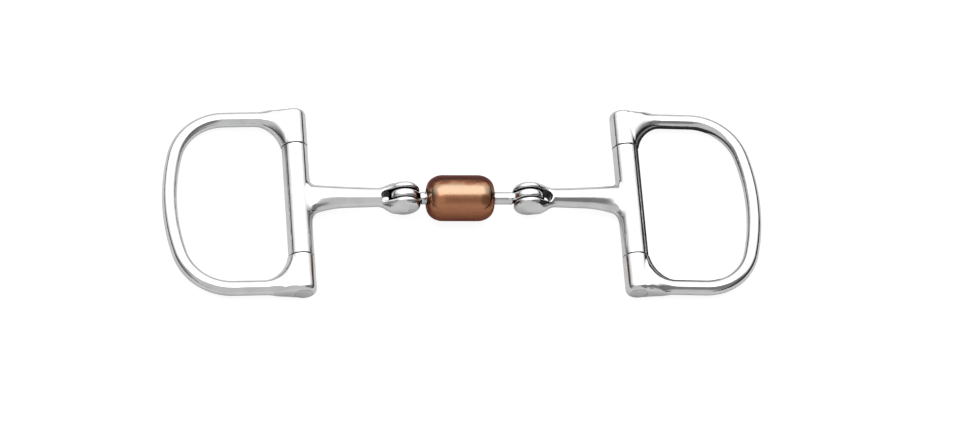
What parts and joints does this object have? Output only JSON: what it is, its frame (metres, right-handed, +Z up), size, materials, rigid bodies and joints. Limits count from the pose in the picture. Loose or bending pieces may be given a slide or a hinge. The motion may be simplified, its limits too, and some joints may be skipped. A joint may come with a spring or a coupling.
{
  "type": "snaffle bit",
  "caption": "Double-jointed dee-ring snaffle bit in polished steel: dees pinned to forked cannons, and a copper roller turning on the centre link.",
  "frame": {"origin": "on the table under the middle of the centre link", "axes": "+X along the mouthpiece, +Y along the hinge pins, +Z up out of the plane of the dees"},
  "size_m": [0.2472, 0.0824, 0.0188],
  "materials": {
    "polished_steel": "polished",
    "pin_steel": "gloss",
    "copper": "gloss"
  },
  "bodies": {
    "link": {"centre_link": "polished_steel"},
    "roller": {"copper_roller": "copper"},
    "left_cannon": {"left_cannon": "polished_steel", "left_knuckle_rivet": "pin_steel"},
    "left_dee": {"left_dee_bow": "polished_steel", "left_hinge_pin": "pin_steel"},
    "right_cannon": {"right_cannon": "polished_steel", "right_knuckle_rivet": "pin_steel"},
    "right_dee": {"right_dee_bow": "polished_steel", "right_hinge_pin": "pin_steel"}
  },
  "joints": [
    {"name": "roller_spin", "type": "hinge", "parent": "link", "child": "roller", "pos_m": [0, 0, 0.0094], "axis": [1, 0, 0], "continuous": true},
    {"name": "left_fold", "type": "hinge", "parent": "link", "child": "left_cannon", "pos_m": [-0.0257, 0, 0.0094], "axis": [0, 1, 0], "range_deg": [-100, 100]},
    {"name": "left_dee_turn", "type": "hinge", "parent": "left_cannon", "child": "left_dee", "pos_m": [-0.06861, 0, 0.0054], "axis": [0, -1, 0], "range_deg": [-165, 165]},
    {"name": "right_fold", "type": "hinge", "parent": "link", "child": "right_cannon", "pos_m": [0.0257, 0, 0.0094], "axis": [0, -1, 0], "range_deg": [-100, 100]},
    {"name": "right_dee_turn", "type": "hinge", "parent": "right_cannon", "child": "right_dee", "pos_m": [0.06861, 0, 0.0054], "axis": [0, 1, 0], "range_deg": [-165, 165]}
  ]
}
